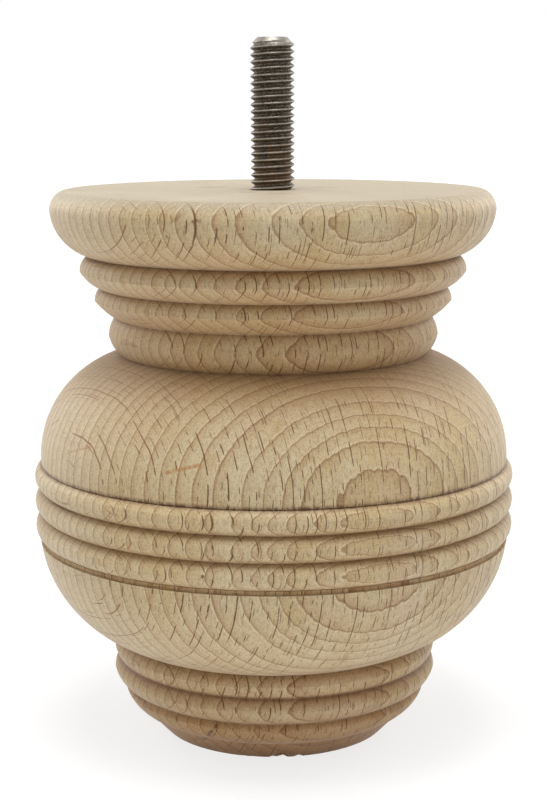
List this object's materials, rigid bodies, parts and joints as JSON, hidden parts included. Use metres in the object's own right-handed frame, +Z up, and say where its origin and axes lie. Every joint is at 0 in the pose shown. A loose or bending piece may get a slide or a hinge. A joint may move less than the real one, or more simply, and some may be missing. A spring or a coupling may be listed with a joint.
{
  "type": "wooden furniture foot",
  "caption": "Turned wooden bun foot with a ringed belly, beaded neck and ankle, a flat round cap and a threaded steel stud that screws up into furniture.",
  "frame": {"origin": "centre of the sole, on the floor that the foot stands on", "axes": "+Z up along the turning axis, from the floor to the tip of the stud; X and Y are free, because the foot is round"},
  "size_m": [0.0881, 0.088, 0.127],
  "materials": {
    "beech": "bare turned beech, sanded and unvarnished",
    "steel": "dark plain steel thread, slightly worn"
  },
  "bodies": {
    "root": {"turned_foot": "beech", "hanger_bolt": "steel"}
  },
  "joints": []
}
